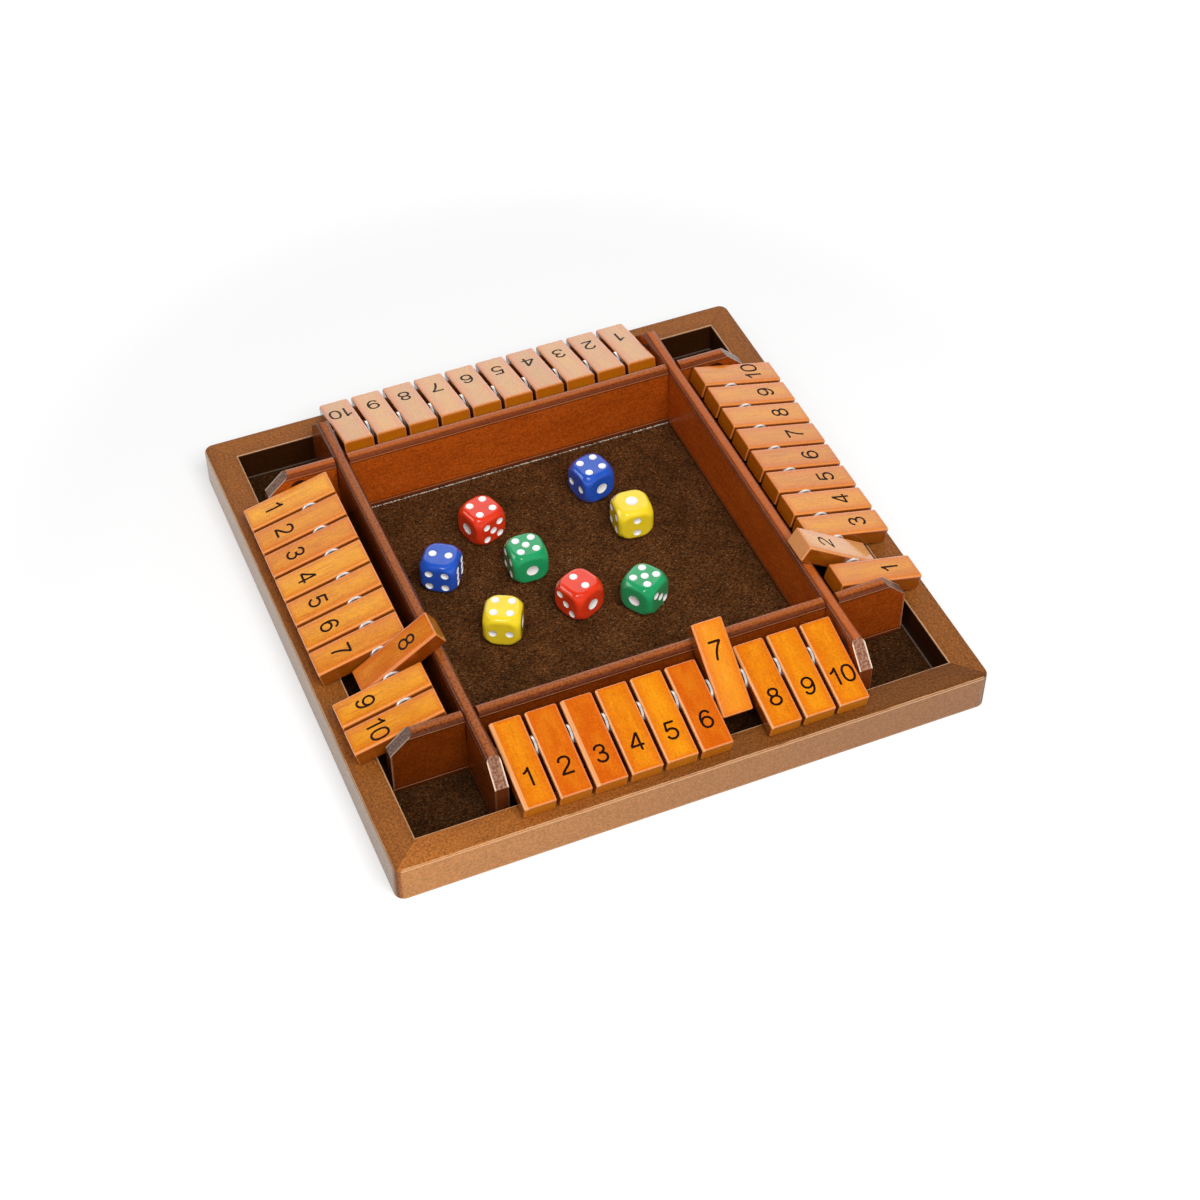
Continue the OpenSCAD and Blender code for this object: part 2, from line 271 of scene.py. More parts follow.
dividerLook = {
    # the same beech under a redder stain and an uneven gloss lacquer: sparkling rounded top,
    # edges rubbed to pale wood
    "light": "#96440e", "dark": "#7a2f07", "vein": "#541d04", "rim": "#662606", "worn": "#d8a47c",
    **beech, "mottle": (30, 12, 12), "speckle": 0.3,
    "rimAt": (-4.0, 2.6), "wornAt": (-0.7, 0.1), "wornShare": 0.3,
    "shader": {"Specular IOR Level": 0.36}, "roughness": 0.2, "grainRelief": 0.4, "relief": 0.13,
    "centre": (0, -91.85, 23.5), "half": (132, 3.35, 18.5),
    # how light each divider is painted at its left end, seen from its rail, in its middle and
    # at its right end: painted light and shade along it
    "drift": {"front": (0.6, 0.9, 1.3), "left": (0.95, 0.85, 0.75), "back": (1.35, 1.75, 1.95),
              "right": (2.1, 2.1, 2.1)},
    "crest": (1.3, 3.8, 0.7, "#b0622a"), "crestSpecks": 6.0,
    "flank": (-1.9, -1.1), "flankAbove": (-3.2, -2.7, 0.65), "flankShade": "#40150a",
    # height below the top, half width, share and colour
    "lines": [(-3.3, 0.5, 0.6, "#431706"), (-2.5, 0.35, 0.6, "#cf9468")], "lineRim": (1.6, 0.7),
    # where the sloping cut starts, its fall, how thick and how soft the cut face is taken to be
    "cutFrom": (120.5, 42), "cutSlope": 11 / 11.5, "cutSkin": (0.12, 0.05), "cutBlend": 0.3,
    "sawn": ("#66402f", "#916a55"), "sawTorn": (0.35, 0.65), "sawnRim": (-0.9, -0.3, 0.8, "#dcc4ac"),
    "cutLightAndShade": {"front": 0.55, "left": 1.3, "back": 0.8, "right": 1.4},   # how light each sawn end is painted: painted light and shade
    "end": (-0.12, -0.04, 0.75, "#4a230f"), "foot": (6.6, 5.2, 0.8, "#2e1105"),
}

for index, side in enumerate(sideTurn):
    look = dividerLook
    wood = stainedWood("redBrownStainedBeech_" + side, look, (0.3 * index, 0.21 * index, 0.1),
                       sideTurn[side], drift=look["drift"][side])
    add = wood["add"]
    fromEnd, fromFace, fromTop = wood["inset"]
    # the crest of the rounded top is painted lighter: stain polished off by hands, and a painted highlight
    crestWearAndHighlight = add("Math", {0: wood["speck"], 1: look["crestSpecks"], 2: fromTop},
                  operation="MULTIPLY_ADD")
    paintWhere(wood, crestWearAndHighlight, look["crest"], **smooth)
    # the flanks of the rounding are painted dark: painted shade
    flank = add("MapRange", {0: fromFace, (1, 2): look["flank"]}, **smooth)
    above = add("MapRange", {0: fromTop, (1, 2, 4): look["flankAbove"]})
    flank = add("Math", {0: flank, 1: above}, operation="MULTIPLY")
    paintOver(wood, flank, look["flankShade"])
    # the edge of the rounding carries a thin pale line, a painted highlight, and a dark one under it,
    # painted shade
    for height, half, thickness, paint in look["lines"]:
        broken = add("Math", {0: wood["grain"], 1: half, 2: distanceFrom(add, fromTop, height)},
                     operation="MULTIPLY_ADD")
        begins, full = [half * rim for rim in look["lineRim"]]
        paintWhere(wood, broken, (begins, full, thickness, paint))
    # the sloping ends are rough saw cuts through the end grain, greyer, and brighter at their rims
    across, _, up = wood["at"]
    across = add("Math", {0: across}, operation="ABSOLUTE")
    past = add("Math", {0: across, 1: look["cutFrom"][0]}, operation="SUBTRACT")
    above = add("Math", {0: up, 1: look["cutFrom"][1]}, operation="SUBTRACT")
    off = add("Math", {0: past, 1: look["cutSlope"], 2: above}, operation="MULTIPLY_ADD")
    off = add("Math", {0: off}, operation="ABSOLUTE")
    nearCut = add("MapRange", {0: off, (1, 2): look["cutSkin"]})
    onCut = add("MapRange", {0: past, 1: 0.0, 2: look["cutBlend"]}, **smooth)
    onCut = add("Math", {0: nearCut, 1: onCut}, operation="MULTIPLY")
    rough = add("MapRange", {0: wood["speck"], (1, 2): look["sawTorn"]}, **smooth)
    sawn = add("Mix", {0: rough, (6, 7): map(linear, look["sawn"])}, **rgba)
    rim = add("MapRange", {0: fromFace, (1, 2, 4): look["sawnRim"][:3]})
    sawn = add("Mix", {0: rim, 6: sawn, 7: linear(look["sawnRim"][3])}, **rgba)
    # each sawn end is painted lighter or darker for its side: painted light and shade
    sawn = add("HueSaturation", {"Color": sawn, "Value": look["cutLightAndShade"][side]})
    paintOver(wood, onCut, sawn)
    # the square ends below them drank more stain and are painted darker still for the shade of the rail
    # beside them: painted shade; the foot is darker towards the felt
    paintWhere(wood, fromEnd, look["end"])
    paintWhere(wood, up, look["foot"], **smooth)
    dress(side + "_divider", wood["material"])
print("dividers dressed")


# felt and base board

felt = {
    "piles": ("#1f0f06", "#62391a"), "fibre": "#b38f62", "lint": "#e4d8c6", "sheen": "#d09a68",
    "cloud": 14, "clouded": (0.7, 1.25), "pile": 0.9, "tufted": (0.34, 0.66),
    "fibreSize": (2.2, 0.55, 0.55),   # drawn wider than real pile so that it shows
    "fibreTurns": (0.3, 1.3, 2.4), "flecked": (0.63, 0.74, 0.6), "wellShade": 0.52,
    "frayed": (0.42, 0.58), "roughness": (0.85, 1.0), "strandRelief": 0.6, "relief": 0.35,
    # in metres from the middle of the board, where these begin and are full, and the size it was cut to
    "wells": (0.09, 0.094), "cutEdge": (0.1338, 0.1344, 0.12), "lintAt": (0.0875, 0.088),
    "dividerFoot": 0.0885, "flat": (0.2698, 0.2698),
}


def needledFelt():
    # needle-punched polyester felt: matt dark pile, flecked with lighter fibres lying every way
    material, add, place = newMaterial("needledFelt", {
        "Specular IOR Level": 0.08, "Sheen Weight": 0.12, "Sheen Roughness": 0.5,
        "Sheen Tint": linear(felt["sheen"])})
    cloud = add("TexNoise", {"Vector": place, "Scale": 1000 / felt["cloud"], "Detail": 3.0})
    pile = add("TexNoise", {"Vector": place, "Scale": 1000 / felt["pile"], "Detail": 3.0,
                            "Roughness": 0.7})
    tuft = add("MapRange", {0: pile, (1, 2): felt["tufted"]}, **smooth)
    colour = add("Mix", {0: tuft, (6, 7): map(linear, felt["piles"])}, **rgba)
    strands = 0.0
    for turn in felt["fibreTurns"]:
        way = add("Mapping", {"Vector": place, "Rotation": (0, 0, turn),
                              "Scale": perMetre(*felt["fibreSize"])})
        strand = add("TexNoise", {"Vector": way, "Scale": 1.0, "Detail": 2.0, "Roughness": 0.6})
        strands = add("Math", {0: strands, 1: strand}, operation="MAXIMUM")
    flecks = add("MapRange", {0: strands, (1, 2, 4): felt["flecked"]}, **smooth)
    colour = add("Mix", {0: flecks, 6: colour, 7: linear(felt["fibre"])}, **rgba)
    away = add("VectorMath", {0: place}, operation="ABSOLUTE")
    across, along, _ = add("SeparateXYZ", {0: away}).outputs
    outmost = add("Math", {0: across, 1: along}, operation="MAXIMUM")
    # the felt in the wells outside the dividers, under the tiles, is painted darker: painted shade
    shade = add("MapRange", {0: cloud, (1, 2): mostNoise, (3, 4): felt["clouded"]})
    wellShade = add("MapRange", {0: outmost, (1, 2): felt["wells"], (3, 4): (1.0, felt["wellShade"])})
    shade = add("Math", {0: shade, 1: wellShade}, operation="MULTIPLY")
    colour = add("HueSaturation", {"Color": colour, "Value": shade})
    # lint caught along the foot of the back divider, and a paler cut edge all round
    cut = add("MapRange", {0: outmost, (1, 2, 4): felt["cutEdge"]})
    y = add("SeparateXYZ", {0: place}).outputs[1]
    lint = add("MapRange", {0: y, (1, 2): felt["lintAt"]})
    within = add("Math", {0: across, 1: felt["dividerFoot"]}, operation="LESS_THAN")
    frayed = add("MapRange", {0: pile, (1, 2): felt["frayed"]}, **smooth)
    for limit in (within, frayed):
        lint = add("Math", {0: lint, 1: limit}, operation="MULTIPLY")
    pale = add("Math", {0: lint, 1: cut}, operation="MAXIMUM")
    colour = add("Mix", {0: pale, 6: colour, 7: linear(felt["lint"])}, **rgba)
    relief = add("Math", {0: strands, 1: felt["strandRelief"], 2: pile}, operation="MULTIPLY_ADD")
    matt = add("MapRange", {0: pile, (3, 4): felt["roughness"]})
    setSurface(material, colour, matt, relief, felt["relief"])
    return material


plywood = {
    "tones": ("#b98d5e", "#d9b384"), "vein": "#94683d", "veined": (0.5, 0.7, 0.35), "bands": (90, 7, 7),
    "grain": (18, 0.7, 0.7), "roughness": (0.6, 0.75), "relief": 0.04,
}


def sandedPlywood():
    # birch plywood, sanded and left bare: pale broad grain with a dull surface
    material, add, place = newMaterial("sandedPlywood", {"Specular IOR Level": 0.3})
    wide = add("Mapping", {"Vector": place, "Scale": perMetre(*plywood["bands"])})
    broad = add("TexNoise", {"Vector": wide, "Scale": 1.0, "Detail": 3.0})
    narrow = add("Mapping", {"Vector": place, "Scale": perMetre(*plywood["grain"])})
    fine = add("TexNoise", {"Vector": narrow, "Scale": 1.0, "Detail": 5.0, "Roughness": 0.7})
    band = add("MapRange", {0: broad, (1, 2): mostNoise}, **smooth)
    colour = add("Mix", {0: band, (6, 7): map(linear, plywood["tones"])}, **rgba)
    vein = add("MapRange", {0: fine, (1, 2, 4): plywood["veined"]}, **smooth)
    colour = add("Mix", {0: vein, 6: colour, 7: linear(plywood["vein"])}, **rgba)
    dull = add("MapRange", {0: broad, 1: 0.2, 2: 0.8, (3, 4): plywood["roughness"]})
    setSurface(material, colour, dull, fine, plywood["relief"])
    return material


dress("felt_lining", needledFelt())
dress("base_board", sandedPlywood())


# rods and washers

def cloudedFinish(name, sockets, look):
    # an even finish whose tone and gloss drift a little, in clouds of one size
    material, add, place = newMaterial(name, sockets)
    cloud = add("TexNoise", {"Vector": place, "Scale": 1000 / look["cloud"], **look["noise"]})
    share = add("MapRange", {0: cloud, (1, 2): look["thin"]}, **smooth) if "thin" in look else cloud
    colour = add("Mix", {0: share, (6, 7): map(linear, look["tones"])}, **rgba)
    gloss = add("MapRange", {0: cloud, (1, 2): mostNoise, (3, 4): look["roughness"]})
    setSurface(material, colour, gloss, cloud, look["relief"])
    return {"material": material, "add": add, "colour": colour, "place": place}


rod = {   # drawn bar steel, left bright: mirror-like with a fine cloud of drawing marks
    "tones": ("#b9b7b2", "#e6e4df"), "roughness": (0.18, 0.34), "relief": 0.008,
    "cloud": 0.35, "noise": grainNoise,
}
washer = {   # zinc-plated steel: the plating is white and soft
    "tones": ("#f4f4f1", "#fffefb"), "roughness": (0.4, 0.5), "relief": 0.01,
    "cloud": 0.9, "noise": cloudNoise,
    # off the rod's axis a washer's faces are painted grey, painted shade, up to the second distance, and
    # it is left bright past the first
    "facesShaded": (4.6, 3.9, 1.0, "#6d6259"), "rodOut": 115.5, "rodUp": 33,
    "lastFrom": 86.8, "endWasherShade": "#4a2412",
}


def zincPlatedSteel():
    # the washers' faces are painted grey, painted shade, so that only their rims are bright, and the last
    # washer of each row, in the gap by the divider, is painted brown: painted shade
    zinc = cloudedFinish("zincPlatedSteel", {"Metallic": 0.6}, washer)
    add = zinc["add"]
    sized = add("VectorMath", {0: zinc["place"], "Scale": 1 / mm}, operation="SCALE")
    away = add("VectorMath", {0: sized}, operation="ABSOLUTE")
    x, y, z = add("SeparateXYZ", {0: away}).outputs
    above = add("Math", {0: z, 1: washer["rodUp"]}, operation="SUBTRACT")
    offAxis = []
    for way in (x, y):
        aside = add("Math", {0: way, 1: washer["rodOut"]}, operation="SUBTRACT")
        aside = add("CombineXYZ", {0: aside, 1: above})
        offAxis.append(add("VectorMath", {0: aside}, operation="LENGTH").outputs["Value"])
    offAxis = add("Math", {(0, 1): offAxis}, operation="MINIMUM")
    along = add("Math", {0: x, 1: y}, operation="MINIMUM")
    # painted shade on the washers' faces
    paintWhere(zinc, offAxis, washer["facesShaded"], **smooth)
    # painted shade on the last washer of each row
    last = add("Math", {0: along, 1: washer["lastFrom"]}, operation="GREATER_THAN")
    paintOver(zinc, last, washer["endWasherShade"])
    return zinc["material"]


dress("pivot_rods", cloudedFinish("drawnSteel", {"Metallic": 1.0}, rod)["material"])
dress("rod_washers", zincPlatedSteel())
print("felt, board, rods and washers dressed")


# tiles

tile = {   # about the rod's axis, X to the numbered end, Z out of the open face
    "long": 30.7, "short": 15.3, "width": 15.9, "thick": 9.5, "edge": 1.4, "bevel": 0.8, "bore": 5.1,
    "edgeSteps": 4, "bevelSteps": 3, "boreSides": 32, "sharpFrom": 34,
    "pitch": 17.5, "rodOut": 115.5, "rodUp": 33, "openSlope": 14.12, "shutSlope": 33.87,
    "numeralAt": 15.9, "numeralTall": 9.6, "stroke": 1.2, "figurePitch": 6.4, "sunk": 0.12,
    "shut": [("front", 7), ("left", 8), ("right", 2)],
    "longFace": 200,   # only its four long faces have a larger area
}

# centre lines of plain block numerals 9 mm tall, in millimetres about their middle;
# a line of two points is straight, and a longer one is a smooth curve through them
numerals = {
    "0": [[(0, 3.97), (-1.55, 3.35), (-2.32, 1.6), (-2.42, 0), (-2.32, -1.6), (-1.55, -3.35), (0, -3.97)]],
    "1": [[(0.68, -4.5), (0.68, 4.5)], [(0.75, 4.2), (0.1, 3.25), (-0.9, 2.45), (-2.0, 1.95)]],
    "2": [[(-2.3, 1.75), (-2.0, 3.0), (-1.1, 3.8), (0.1, 3.97), (1.3, 3.72), (2.2, 2.9), (2.4, 1.65),
           (1.9, 0.35), (0.7, -0.95), (-0.9, -2.3), (-1.9, -3.35), (-2.35, -4.3)],
          [(-2.75, -3.97), (2.9, -3.97)]],
    "3": [[(-2.2, 2.05), (-1.75, 3.2), (-0.95, 3.82), (0.0, 3.97), (1.15, 3.7), (1.95, 2.9),
           (1.98, 1.75), (1.3, 0.75), (0.3, 0.36), (-0.75, 0.3)],
          [(-0.75, 0.3), (0.35, 0.28), (1.5, -0.1), (2.3, -1.05), (2.4, -2.15), (1.8, -3.3),
           (0.7, -3.92), (-0.45, -3.92), (-1.6, -3.35), (-2.3, -2.1)]],
    "4": [[(1.35, -4.5), (1.35, 4.4)], [(1.15, 4.15), (-2.75, -1.75)], [(-3.1, -1.85), (3.1, -1.85)]],
    "5": [[(-1.6, 3.95), (2.45, 3.95)], [(-1.5, 4.4), (-2.15, -0.15)],
          [(-2.1, -0.05), (-1.3, 0.62), (-0.1, 0.88), (1.3, 0.5), (2.25, -0.55), (2.38, -1.85),
           (1.75, -3.2), (0.55, -3.92), (-0.6, -3.92), (-1.7, -3.35), (-2.4, -2.15)]],
    "6": [[(2.3, 2.3), (1.75, 3.4), (0.55, 3.97), (-0.75, 3.65), (-1.75, 2.55), (-2.3, 0.9),
           (-2.38, -0.8), (-2.2, -2.3), (-1.4, -3.5), (0.05, -3.97), (1.5, -3.45), (2.32, -2.2),
           (2.35, -0.95), (1.65, 0.35), (0.3, 0.95), (-1.1, 0.65), (-2.05, -0.35), (-2.33, -1.6)]],
    "7": [[(-2.85, 3.97), (2.85, 3.97)],
          [(2.7, 4.05), (1.35, 2.25), (0.2, 0.1), (-0.6, -2.3), (-0.9, -4.5)]],
    "8": [[(0, 3.97), (-1.2, 3.68), (-1.95, 2.75), (-1.85, 1.5), (-1.05, 0.55), (0, 0.3)],
          [(0, 0.3), (-1.35, -0.05), (-2.25, -1.05), (-2.35, -2.3), (-1.6, -3.45), (0, -3.97)]],
}
for figure in "08":   # these are left halves, and the right ones mirror them
    numerals[figure] = [half + [(-x, y) for x, y in half[-2::-1]] for half in numerals[figure]]
numerals["9"] = [[(-x, -y) for x, y in line] for line in numerals["6"]]


def smoothed(line, steps=5):
    # points along a smooth curve through the line's own points
    if len(line) == 2:
        return [Vector(point) for point in line]
    closed = line[0] == line[-1]
    ends = (line[-2], line[1]) if closed else (line[0], line[-1])
    points = [Vector(p) for p in [ends[0], *line, ends[1]]]
    curve = []
    for a, b, c, d in zip(points, points[1:], points[2:], points[3:]):
        for step in range(steps):
            t = step / steps
            curve.append(0.5 * (2 * b + (c - a) * t + (2 * a - 5 * b + 4 * c - d) * t * t
                                + (3 * b - a - 3 * c + d) * t ** 3))
    return curve + [points[-2]]


def strokeQuads(line, width):
    # the stroke of a pen of this width along a line, as four-cornered pieces
    points = smoothed(line)
    closed = (points[0] - points[-1]).length < 1e-6
    rims = []
    for i, point in enumerate(points):
        before = points[i - 1] if i else (points[-2] if closed else point)
        after = points[i + 1] if i + 1 < len(points) else (points[1] if closed else point)
        way = (after - before).normalized()
        across = Vector((-way.y, way.x)) * width / 2
        rims.append((point + across, point - across))
    return [[a[0], b[0], b[1], a[1]] for a, b in zip(rims, rims[1:])]


def numeralShape(number):
    # every stroke of a tile's number, two figures set side by side
    figures = str(number)
    size = tile["numeralTall"] / 9
    shape = []
    for place, figure in enumerate(figures):
        aside = (place - (len(figures) - 1) / 2) * tile["figurePitch"]
        for line in numerals[figure]:
            shape += strokeQuads([(x * size + aside, y * size) for x, y in line], tile["stroke"])
    return shape


def cutPanel(mesh, outline, cuts, toSpace, depth):
    # fills an outline with faces; the cuts are sunk by depth with walls round them, or left open at 0
    points, faces = [], []
    for polygon in [outline, *cuts]:
        turning = sum(a[0] * b[1] - b[0] * a[1] for a, b in zip(polygon, [*polygon[1:], polygon[0]]))
        faces.append(list(range(len(points), len(points) + len(polygon))))
        points += [Vector(p) for p in (polygon if turning > 0 else reversed(polygon))]
    flat, _, pieces, _, _, origins = delaunay_2d_cdt(points, [], faces, 1, 1e-5)
    top = [mesh.verts.new(toSpace(p.x, p.y, 0)) for p in flat]
    low, borders = {}, {}
    for piece, origin in zip(pieces, origins):
        inCut = any(source > 0 for source in origin)
        for a, b in zip(piece, [*piece[1:], piece[0]]):
            borders.setdefault(frozenset((a, b)), []).append(inCut)
        if not inCut:
            mesh.faces.new([top[i] for i in piece])
        elif depth:
            for i in piece:
                if i not in low:
                    low[i] = mesh.verts.new(toSpace(flat[i].x, flat[i].y, depth))
            mesh.faces.new([low[i] for i in piece]).material_index = 1
    if depth:
        for pair, uses in borders.items():
            if len(uses) == 2 and uses[0] != uses[1]:
                a, b = pair
                mesh.faces.new([top[a], top[b], low[b], low[a]]).material_index = 1


def tileMesh(number):
    # a block with rounded sides and bevelled ends, bored for its rod, with its number sunk in both faces
    body = bmesh.new()
    middle = Vector(((tile["long"] - tile["short"]) / 2, 0, 0))
    size = Vector((tile["long"] + tile["short"], tile["width"], tile["thick"]))
    bmesh.ops.create_cube(body, size=1, matrix=Matrix.Translation(middle) @ Matrix.Diagonal([*size, 1]))
    lengthwise = [edge for edge in body.edges if abs(edge.verts[0].co.x - edge.verts[1].co.x) > 1]
    bmesh.ops.bevel(body, geom=lengthwise, offset=tile["edge"], segments=tile["edgeSteps"], profile=0.5,
                    affect="EDGES")
    ends = [edge for edge in body.edges if abs(edge.verts[0].co.x - edge.verts[1].co.x) < 1e-4]
    bmesh.ops.bevel(body, geom=ends, offset=tile["bevel"], segments=tile["bevelSteps"], profile=0.45,
                    affect="EDGES")
    # the four long faces are filled again round the numbers and the bore
    long = [face for face in body.faces if face.calc_area() > tile["longFace"]]
    bmesh.ops.delete(body, geom=long, context="FACES")

    x0, x1 = tile["bevel"] - tile["short"], tile["long"] - tile["bevel"]
    y1, z1 = tile["width"] / 2 - tile["edge"], tile["thick"] / 2 - tile["edge"]
    shape = numeralShape(number)
    for up in (1, -1):   # the number's head points to the rod on the open face, to the tip on the other
        cuts = [[(tile["numeralAt"] - up * p.y, p.x) for p in quad] for quad in shape]
        cutPanel(body, [(x0, -y1), (x1, -y1), (x1, y1), (x0, y1)], cuts,
                 lambda x, y, deep, up=up: (x, y, up * (tile["thick"] / 2 - deep)), tile["sunk"])
    count = tile["boreSides"]
    ring = [(tile["bore"] / 2 * math.cos(t * 2 * math.pi / count),
             tile["bore"] / 2 * math.sin(t * 2 * math.pi / count)) for t in range(count)]
    for side in (1, -1):
        cutPanel(body, [(x0, -z1), (x1, -z1), (x1, z1), (x0, z1)], [ring],
                 lambda x, z, deep, side=side: (x, side * tile["width"] / 2, z), 0)
    bore = [[body.verts.new((x, side * tile["width"] / 2, z)) for x, z in ring] for side in (1, -1)]
    for i in range(count):
        body.faces.new([bore[0][i], bore[0][i - 1], bore[1][i - 1], bore[1][i]])
    bmesh.ops.remove_doubles(body, verts=body.verts[:], dist=1e-4)
    bmesh.ops.recalc_face_normals(body, faces=body.faces[:])
    bmesh.ops.scale(body, vec=(mm, mm, mm), verts=body.verts[:])
    mesh = bpy.data.meshes.new("tileBlock_" + str(number))
    body.to_mesh(mesh)
    body.free()
    mesh.shade_smooth()
    mesh.set_sharp_from_angle(angle=math.radians(tile["sharpFrom"]))
    return mesh


inkLook = {   # pad printing ink in the sunk figures: black-brown, dense and nearly matt
    "tones": ("#1c0803", "#331206"), "thin": (0.4, 0.75), "roughness": (0.45, 0.65), "relief": 0.01,
    "cloud": 0.5, "noise": cloudNoise,
}
tileLook = {
    # beech blocks dipped in amber stain and gloss lacquer: clear warm middle, redder towards the
    # edges, rounded sides rubbed to pale orange
    "vein": "#b34e04", "rim": "#d65800", "worn": "#fcb878",
    "grain": (18, 0.8, 0.8), "mottle": (16, 7, 7), "speck": 0.8, "peel": 1.6,
    "veinShare": 0.3, "rimShare": 0.6, "speckle": 0.17, "wornShare": 0.3,
    "rimAt": (-4.5, 2.2), "rimWander": 3.4, "wornAt": (-0.95, -0.45), "wornWander": 0.7,
    "shader": {"Coat Weight": 0.8, "Coat Roughness": 0.12}, "roughness": 0.25, "grainRelief": 0.5,
    "relief": 0.035,
    "centre": (7.7, 0, 0), "half": (23, 7.95, 4.75), "stretch": (1.75, 1, 1),
    "end": (-0.5, -0.1, 0.72), "ends": ("#a2520a", "#c4740c"),   # the one by the divider, the numbered one
    "side": (-0.25, -0.03, 0.78, "#631c04"),
    "paintedHighlightStrip": "#eca667", "stripShare": 0.85, "stripWander": 0.7, "stripBlend": (0.5, 0.2),
    "stripAbove": (3.0, 3.4),
}
rowLook = {   # the rows came from different batches, and their tiles' tones run from 0, red, to 1, yellow
    "front": {"light": "#f29806", "dark": "#d05b00", "slot": "amber_wood",
              "tones": (0.57, 0.06, 0.0, 0.6, 0.9, 0.0, 0.85, 0.6, 0.79, 0.66),
              # the width of a pale strip painted along each tile's left edge: a painted highlight
              "strips": (2.0, 1.0, 2.1, 0.9, 0.9, 1.1, 0, 1.1, 0.9, 0.8)},
    "left": {"light": "#faaa18", "dark": "#cf6a04", "slot": "honey_wood", "veinShare": 0.55,
             "tones": (1.0, 0.51, 0.39, 1.0, 0.64, 0.7, 0.46, 0.0, 0.74, 0.51)},
    "back": {"light": "#e29a12", "dark": "#c27d0a", "slot": "pale_wood", "veinShare": 0.45,
             "tones": (0.5, 0.4, 0.7, 0.2, 0.6, 0.7, 0.8, 0.5, 0.8, 0.4)},
    "right": {"light": "#ee9c12", "dark": "#cc760c", "slot": "tan_wood", "veinShare": 0.55,
              "tones": (0.4, 0.8, 0.7, 0.8, 0.3, 0.2, 0.3, 0.8, 0.6, 0.5),
              "back": (-4.0, -4.7, 0.2, "#f9d6ae")},
}

ink = cloudedFinish("padPrintedInk", {"Specular IOR Level": 0.2}, inkLook)["material"]
blocks = {number: tileMesh(number) for number in range(1, 11)}
chance = random.Random(17)
for side, turn in sideTurn.items():
    row = rowLook[side]
    for number in range(1, 11):
        node = f"{side}_tile_{number}"
        shift = [chance.uniform(-0.5, 0.5) for axis in range(3)]
        wood = stainedWood("lacqueredBeech_" + node, {**tileLook, **row}, shift,
                           tone=row["tones"][number - 1])
        add = wood["add"]
        fromEnd, fromSide, _ = wood["inset"]
        _, across, up = wood["at"]
        # end grain took the stain darker, most at the end by the divider
        outer = add("Math", {0: wood["along"], 1: 0.0}, operation="GREATER_THAN")
        paint = add("Mix", {0: outer, (6, 7): map(linear, tileLook["ends"])}, **rgba)
        paintWhere(wood, fromEnd, (*tileLook["end"], paint))
        # the sides, in the narrow gaps between the tiles, are painted dark: painted shade
        paintWhere(wood, fromSide, tileLook["side"])
        if "back" in row:   # their under faces are painted pale: painted sheen, shown where a tile is shut
            paintWhere(wood, up, row["back"])
        # a pale strip on the open face along the left edge: a painted highlight
        if "strips" in row:
            reach = row["strips"][number - 1] - tile["width"] / 2
            broken = add("Math", {0: wood["speck"], 1: tileLook["stripWander"], 2: across},
                         operation="MULTIPLY_ADD")
            span = [reach + blend for blend in tileLook["stripBlend"]]
            paintedHighlightStrip = add("MapRange", {0: broken, (1, 2): span, 4: tileLook["stripShare"]})
            topmost = add("MapRange", {0: up, (1, 2): tileLook["stripAbove"]})
            paintedHighlightStrip = add("Math", {0: paintedHighlightStrip, 1: topmost}, operation="MULTIPLY")
            paintOver(wood, paintedHighlightStrip, tileLook["paintedHighlightStrip"])
        mesh = blocks[number].copy()
        mesh.materials.append(wood["material"])
        mesh.materials.append(ink)
        block = bpy.data.objects.new(node + "_block", mesh)
        bpy.context.scene.collection.objects.link(block)
        slope = 180 - tile["shutSlope"] if (side, number) in tile["shut"] else -tile["openSlope"]
        hinge = Vector(((number - 5.5) * tile["pitch"], -tile["rodOut"], tile["rodUp"])) * mm
        block.matrix_world = (turned(turn, "Z") @ Matrix.Translation(hinge)
                              @ turned(-90, "Z") @ turned(-slope, "Y"))
        even = block.modifiers.new("evenShading", "WEIGHTED_NORMAL")
        even.keep_sharp = True
        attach(block, node)
        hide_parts(node)
for mesh in blocks.values():
    bpy.data.meshes.remove(mesh)
print("forty tiles made")


# dice

die = {   # face one up, face two to the front, face three to the right
    "size": 19, "edge": 3.0, "flat": 8.6, "blend": 0.7, "grid": 26,
    "pip": 4.0, "onePip": 6.2, "pipDepth": 0.7, "pipPitch": 8.2, "pipRings": 7, "pipSides": 40,
    "floor": 5,
    "placed": {   # place on the felt, top face, turn
        "red_die_1": ((-33.3, 48), 4, -162), "red_die_2": ((-7.5, -19.4), 2, -157),
        "blue_die_1": ((30, 55), 4, -77), "blue_die_2": ((-63.9, 24.3), 2, 56),
        "green_die_1": ((-22.4, 14.2), 5, -2), "green_die_2": ((23.5, -28.7), 5, -56),
        "yellow_die_1": ((38.7, 22.3), 1, -5), "yellow_die_2": ((-48.4, -20.9), 4, -28),
    },
    "colour": {"red": ("#ee3c1c", "#e23316"), "blue": ("#2459c6", "#1f50ba"),
               "green": ("#22a566", "#1d9c5e"), "yellow": ("#fddf2e", "#fad822")},
    "cloud": 7, "deeper": (0.35, 0.75), "scratch": (2.4, 0.25, 0.25), "scuffed": (0.45, 0.75),
    "roughness": (0.2, 0.36), "scratchRelief": -0.2, "relief": 0.004,
}
enamel = {   # white enamel dropped into the dents, pooled and slightly uneven
    "tones": ("#ffffff", "#f4f3f0"), "roughness": (0.3, 0.5), "relief": 0.02,
    "cloud": 1.2, "noise": cloudNoise,
}
